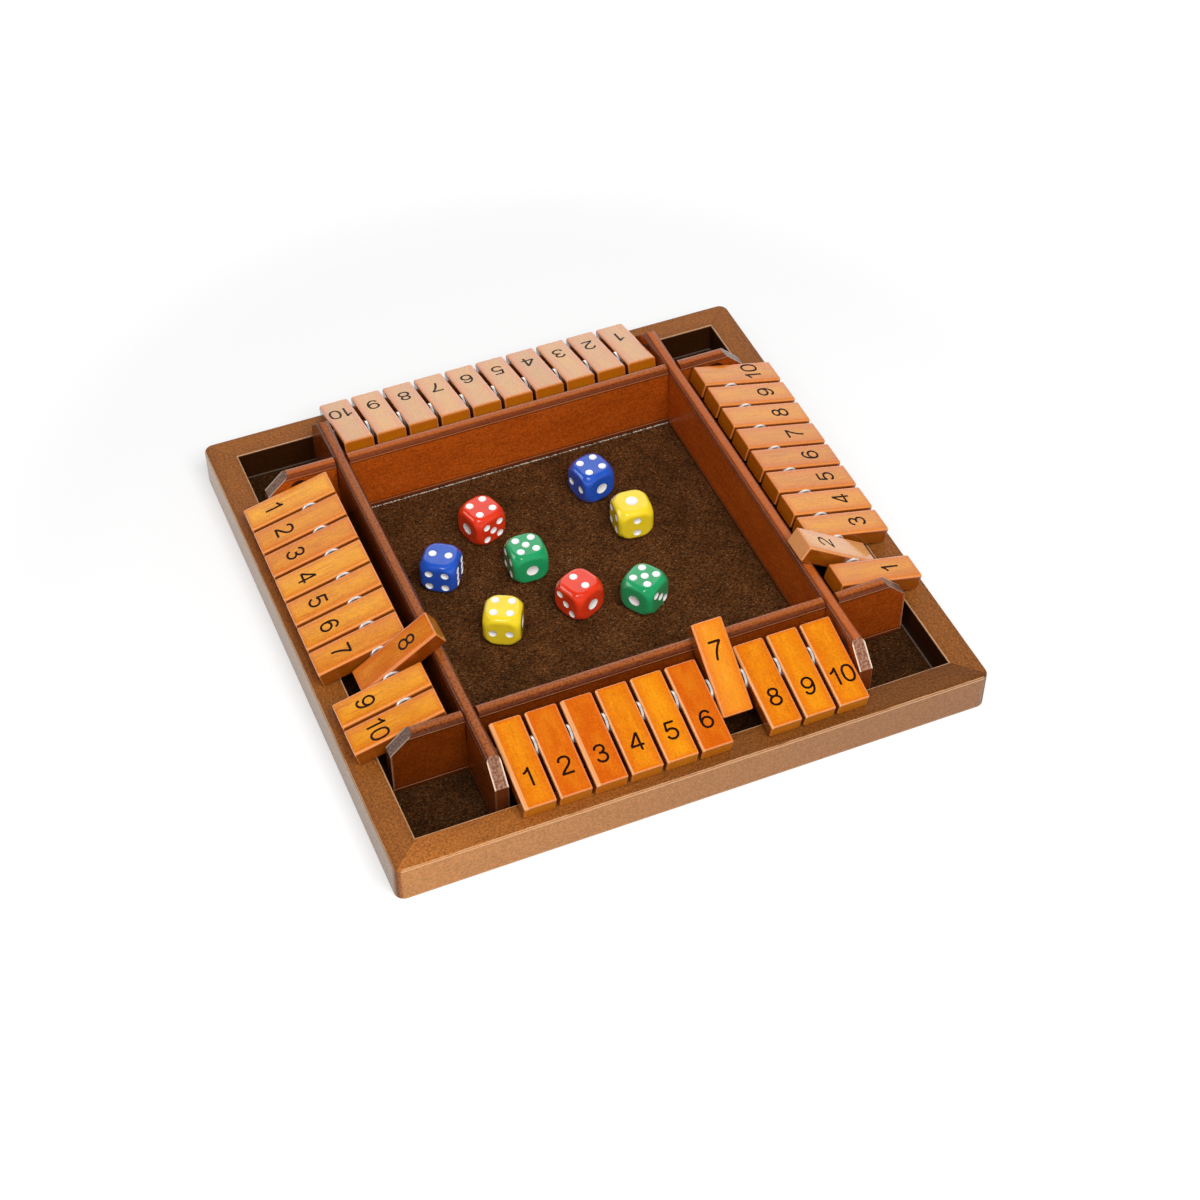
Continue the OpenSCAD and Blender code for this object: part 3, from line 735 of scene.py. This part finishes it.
# how each face's pips turn from face one, and the turn that brings that face uppermost
faceTurn = {1: (0, "X"), 2: (90, "X"), 3: (90, "Y"), 4: (-90, "Y"), 5: (-90, "X"), 6: (180, "X")}
uppermost = {face: (-turn, axis) for face, (turn, axis) in faceTurn.items()}
pipPlaces = {
    1: [(0, 0)], 2: [(0, -1), (0, 1)], 3: [(-1, 1), (0, 0), (1, -1)],
    4: [(-1, -1), (-1, 1), (1, -1), (1, 1)], 5: [(0, 0), (-1, -1), (-1, 1), (1, -1), (1, 1)],
    6: [(-1, -1), (-1, 0), (-1, 1), (1, -1), (1, 0), (1, 1)],
}


def dieDepth(point):
    # below 0 inside a cube with round edges whose corners are ground off by a ball
    reach = die["size"] / 2 - die["edge"]
    over = Vector([max(abs(c) - reach, 0) for c in point])
    cube = over.length + min(max(abs(c) for c in point) - reach, 0) - die["edge"]
    ball = point.length - math.hypot(die["size"] / 2, die["flat"])
    mix = max(die["blend"] - abs(cube - ball), 0) / die["blend"]
    return max(cube, ball) + mix * mix * die["blend"] / 4


def outwardOf(point, probe=0.02):
    # the way the die's own surface faces here
    steps = [Vector((probe, 0, 0)), Vector((0, probe, 0)), Vector((0, 0, probe))]
    return Vector([dieDepth(point + step) - dieDepth(point - step) for step in steps]).normalized()


def dentBalls():
    # the balls that press the pips in, as the face's turn, centre and radius
    balls = []
    for face, places in pipPlaces.items():
        wide = die["onePip"] if face == 1 else die["pip"]
        radius = (wide * wide / 4 + die["pipDepth"] ** 2) / (2 * die["pipDepth"])
        for x, y in places:
            centre = Vector((x * die["pipPitch"] / 2, y * die["pipPitch"] / 2,
                             die["size"] / 2 + radius - die["pipDepth"]))
            balls.append((turned(*faceTurn[face]), centre, radius))
    return balls


def dentCaps(balls, proud=0.04):
    # the part of each ball that lies in the die, closed just proud of its face
    caps = bmesh.new()
    count, sides = die["pipRings"], die["pipSides"]
    for turn, centre, radius in balls:
        widest = math.acos((radius - die["pipDepth"] - proud) / radius)
        rings = []
        for ring in range(1, count + 1):
            wide = radius * math.sin(widest * ring / count)
            low = -radius * math.cos(widest * ring / count)
            rings.append([caps.verts.new(turn @ (centre + Vector((
                wide * math.cos(t * 2 * math.pi / sides), wide * math.sin(t * 2 * math.pi / sides),
                low))) * mm) for t in range(sides)])
        lowest = caps.verts.new(turn @ (centre - Vector((0, 0, radius))) * mm)
        for i in range(sides):
            caps.faces.new([lowest, rings[0][i], rings[0][i - 1]])
            for inner, outer in zip(rings, rings[1:]):
                caps.faces.new([inner[i - 1], inner[i], outer[i], outer[i - 1]])
        caps.faces.new(rings[-1])
    bmesh.ops.recalc_face_normals(caps, faces=caps.faces[:])
    return caps


def dieMesh():
    # the body is a round-edged grid, and the dents are cut out of it; every corner then takes the
    # true normal of the surface it lies on, so that the gloss runs evenly
    body = bmesh.new()
    bmesh.ops.create_cube(body, size=2)
    bmesh.ops.subdivide_edges(body, edges=body.edges[:], cuts=die["grid"] - 1, use_grid_fill=True)
    for vertex in body.verts:
        # the tangent spreads the grid's points evenly, and halving the span finds the surface
        way = Vector([math.tan(c * math.pi / 4.6) for c in vertex.co]).normalized()
        near, far = 0.0, 20.0
        for step in range(30):
            middle = (near + far) / 2
            near, far = (middle, far) if dieDepth(way * middle) < 0 else (near, middle)
        vertex.co = way * near * mm
    shell = bpy.data.meshes.new("dieShell")
    body.to_mesh(shell)
    body.free()
    balls = dentBalls()
    dents = dentCaps(balls)
    cutter = bpy.data.meshes.new("dieDents")
    dents.to_mesh(cutter)
    dents.free()

    blank = bpy.data.objects.new("dieBlank", shell)
    tool = bpy.data.objects.new("dieTool", cutter)
    for part in (blank, tool):
        bpy.context.scene.collection.objects.link(part)
    cut = blank.modifiers.new("pips", "BOOLEAN")
    cut.operation, cut.object, cut.solver = "DIFFERENCE", tool, "EXACT"
    bpy.context.view_layer.update()
    made = bpy.data.meshes.new_from_object(blank.evaluated_get(bpy.context.evaluated_depsgraph_get()))
    for part in (blank, tool):
        bpy.data.objects.remove(part)
    for mesh in (shell, cutter):
        bpy.data.meshes.remove(mesh)

    made.shade_smooth()
    made.materials.append(None)
    made.materials.append(None)
    corners = [vertex.co / mm for vertex in made.vertices]
    outward = [outwardOf(corner) for corner in corners]
    normals = [None] * len(made.loops)
    centres = [(turn @ centre, radius) for turn, centre, radius in balls]
    slack = 0.01   # for what the cut rounds off
    for face in made.polygons:
        middle = face.center / mm
        sunk = dieDepth(middle) < -2 * slack
        dent = next((centre for centre, radius in centres
                     if sunk and (middle - centre).length < radius + slack), None)
        face.material_index = 1 if dent else 0
        for loop, vertex in zip(face.loop_indices, face.vertices):
            normals[loop] = (dent - corners[vertex]).normalized() if dent else outward[vertex]
    made.normals_split_custom_set(normals)
    return made


def mouldedAcrylic(name, tones):
    # injection-moulded acrylic, tumbled: clean gloss with faint waves and hair scratches
    material, add, place = newMaterial("mouldedAcrylic_" + name, {
        "IOR": 1.49, "Coat Weight": 0.9, "Coat Roughness": 0.1})
    cloud = add("TexNoise", {"Vector": place, "Scale": 1000 / die["cloud"], **cloudNoise})
    thin = add("Mapping", {"Vector": place, "Scale": perMetre(*die["scratch"])})
    scuff = add("TexNoise", {"Vector": thin, "Scale": 1.0, **grainNoise})
    deeper = add("MapRange", {0: cloud, (1, 2): die["deeper"]}, **smooth)
    colour = add("Mix", {0: deeper, (6, 7): map(linear, tones)}, **rgba)
    hazed = add("MapRange", {0: scuff, (1, 2): die["scuffed"], (3, 4): die["roughness"]})
    relief = add("Math", {0: scuff, 1: die["scratchRelief"], 2: cloud}, operation="MULTIPLY_ADD")
    setSurface(material, colour, hazed, relief, die["relief"])
    return material


cast = dieMesh()
enamelCoat = {"Coat Weight": 0.2, "Coat Roughness": 0.15}
pipPaint = cloudedFinish("whitePipEnamel", enamelCoat, enamel)["material"]
plastics = {name: mouldedAcrylic(name, tones) for name, tones in die["colour"].items()}
for name, (spot, top, turn) in die["placed"].items():
    mesh = cast.copy()
    colour = name.split("_")[0]
    mesh.materials[0], mesh.materials[1] = plastics[colour], pipPaint
    cube = bpy.data.objects.new(name + "_cube", mesh)
    bpy.context.scene.collection.objects.link(cube)
    centre = Vector((*spot, die["floor"] + die["size"] / 2)) * mm
    cube.matrix_world = Matrix.Translation(centre) @ turned(turn, "Z") @ turned(*uppermost[top])
    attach(cube, name)
    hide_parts(name)
bpy.data.meshes.remove(cast)
print("eight dice made")


# floor, light and camera

studio = {   # metres and watts
    "dome": 0.35,   # soft light from everywhere on matt surfaces
    # what gloss sees: a wide window at the back with a brighter middle, a small bright one at the left,
    # pale walls, and the dark side of the room at the right. A window has its direction, how squarely
    # one faces it where it begins and where it is full, and the light beside it and in it
    "windows": {"back": ((0.342, 0.94, 0.0), (0.5, 0.6), (0.02, 1.0)),
                "middle": ((0.342, 0.94, 0.0), (0.74, 0.97), (0.0, 0.8)),
                "left": ((-0.904, 0.271, 0.331), (0.9, 0.95), (0.0, 2.6))},
    "wallLevel": 0.8, "wallTop": (0.25, 0.45), "darkFrom": (0.66, 0.76),
    "tableSize": 6, "tableDrop": 0.0003, "backlight": 0.45, "bounce": 0.5, "shadowed": (0.26, 0.6),
    # place, size, power, and whether gloss mirrors it
    "keySoftbox": ((0.05, -0.97, 1.45), 1.0, 26.0, False),
    "edgeSoftbox": ((-0.75, -0.95, 1.2), 0.4, 3.0, True),
    "eye": (-0.3101, -0.7605, 0.8555), "target": (0.0057, -0.0143, 0.0),
    "lens": 70.5, "sensor": 36,   # in millimetres
}


def lookedAt(add):
    # 1 where the camera looks straight or through glass, and 1 where gloss does
    path = add("LightPath").outputs
    seen = add("Math", {0: path["Is Camera Ray"], 1: path["Is Transmission Ray"]}, operation="MAXIMUM")
    return seen, path["Is Glossy Ray"]


def lightTable():
    # a backlit white table: looked at it is white and keeps a faint shadow, while matt surfaces get
    # little light back from it
    material, add, place = newMaterial("backlitOpalAcrylic", {
        "Roughness": 1.0, "Specular IOR Level": 0.0, "Emission Color": (1, 1, 1, 1)})
    seen, mirrored = lookedAt(add)
    seen = add("Math", {0: seen, 1: mirrored}, operation="MAXIMUM")
    grey, white = [(level, level, level, 1) for level in (studio["bounce"], 1 - studio["backlight"])]
    colour = add("Mix", {0: seen, 6: grey, 7: white}, **rgba)
    away = add("VectorMath", {0: place}, operation="LENGTH").outputs["Value"]
    glow = add("MapRange", {0: away, (1, 2): studio["shadowed"], 3: studio["backlight"], 4: 1.0}, **smooth)
    glow = add("Math", {0: seen, 1: glow}, operation="MULTIPLY")
    feedShader(material, {"Base Color": colour, "Emission Strength": glow})
    return material


def roundWindow(add, way, aim, rim, levels):
    # the light that comes from a window with a soft rim
    facing = add("VectorMath", {0: way, 1: aim}, operation="DOT_PRODUCT")
    return add("MapRange", {0: facing, (1, 2): rim, (3, 4): levels}, **smooth)


def softbox(name):
    # a square lamp aimed at the board
    at, size, power, mirrored = studio[name]
    lamp = bpy.data.lights.new(name, "AREA")
    lamp.size, lamp.energy = size, power
    box = bpy.data.objects.new(name, lamp)
    bpy.context.scene.collection.objects.link(box)
    box.location = at
    box.visible_glossy = mirrored
    box.rotation_euler = (-Vector(at)).to_track_quat("-Z", "Y").to_euler()


bpy.ops.mesh.primitive_plane_add(size=studio["tableSize"], location=(0, 0, -studio["tableDrop"]))
floor = bpy.context.object
floor.name = "lightTable"
floor.data.materials.append(lightTable())

world = bpy.data.worlds.new("studioWalls")
bpy.context.scene.world = world
world.use_nodes = True
add = partial(addNode, world.node_tree)
seen, mirrored = lookedAt(add)
way = add("TexCoord").outputs["Generated"]
right, _, high = add("SeparateXYZ", {0: way}).outputs
glow = {name: roundWindow(add, way, *window) for name, window in studio["windows"].items()}
room = add("Math", {0: glow["back"], 1: glow["middle"]}, operation="ADD")
wall = add("MapRange", {0: high, (1, 2): studio["wallTop"], 3: studio["wallLevel"], 4: 0.0}, **smooth)
room = add("Math", {0: room, 1: wall}, operation="MAXIMUM")
lit = add("MapRange", {0: right, (1, 2): studio["darkFrom"], 3: 1.0, 4: 0.0}, **smooth)
room = add("Math", {0: room, 1: lit}, operation="MULTIPLY")
room = add("Math", {0: room, 1: glow["left"]}, operation="MAXIMUM")
level = add("Mix", {0: mirrored, 2: studio["dome"], 3: room}, data_type="FLOAT")
level = add("Mix", {0: seen, 2: level, 3: 1.0}, data_type="FLOAT")
background = world.node_tree.nodes["Background"]
background.inputs["Color"].default_value = (1, 1, 1, 1)
world.node_tree.links.new(mainOutput(level), background.inputs["Strength"])

softbox("keySoftbox")
softbox("edgeSoftbox")

lens = bpy.data.cameras.new("camera")
lens.lens, lens.sensor_width = studio["lens"], studio["sensor"]
camera = bpy.data.objects.new("camera", lens)
bpy.context.scene.collection.objects.link(camera)
camera.location = studio["eye"]
aim = Vector(studio["target"]) - Vector(studio["eye"])
camera.rotation_euler = aim.to_track_quat("-Z", "Y").to_euler()
bpy.context.scene.camera = camera
bpy.context.scene.view_settings.view_transform = "Standard"
print("studio set up")
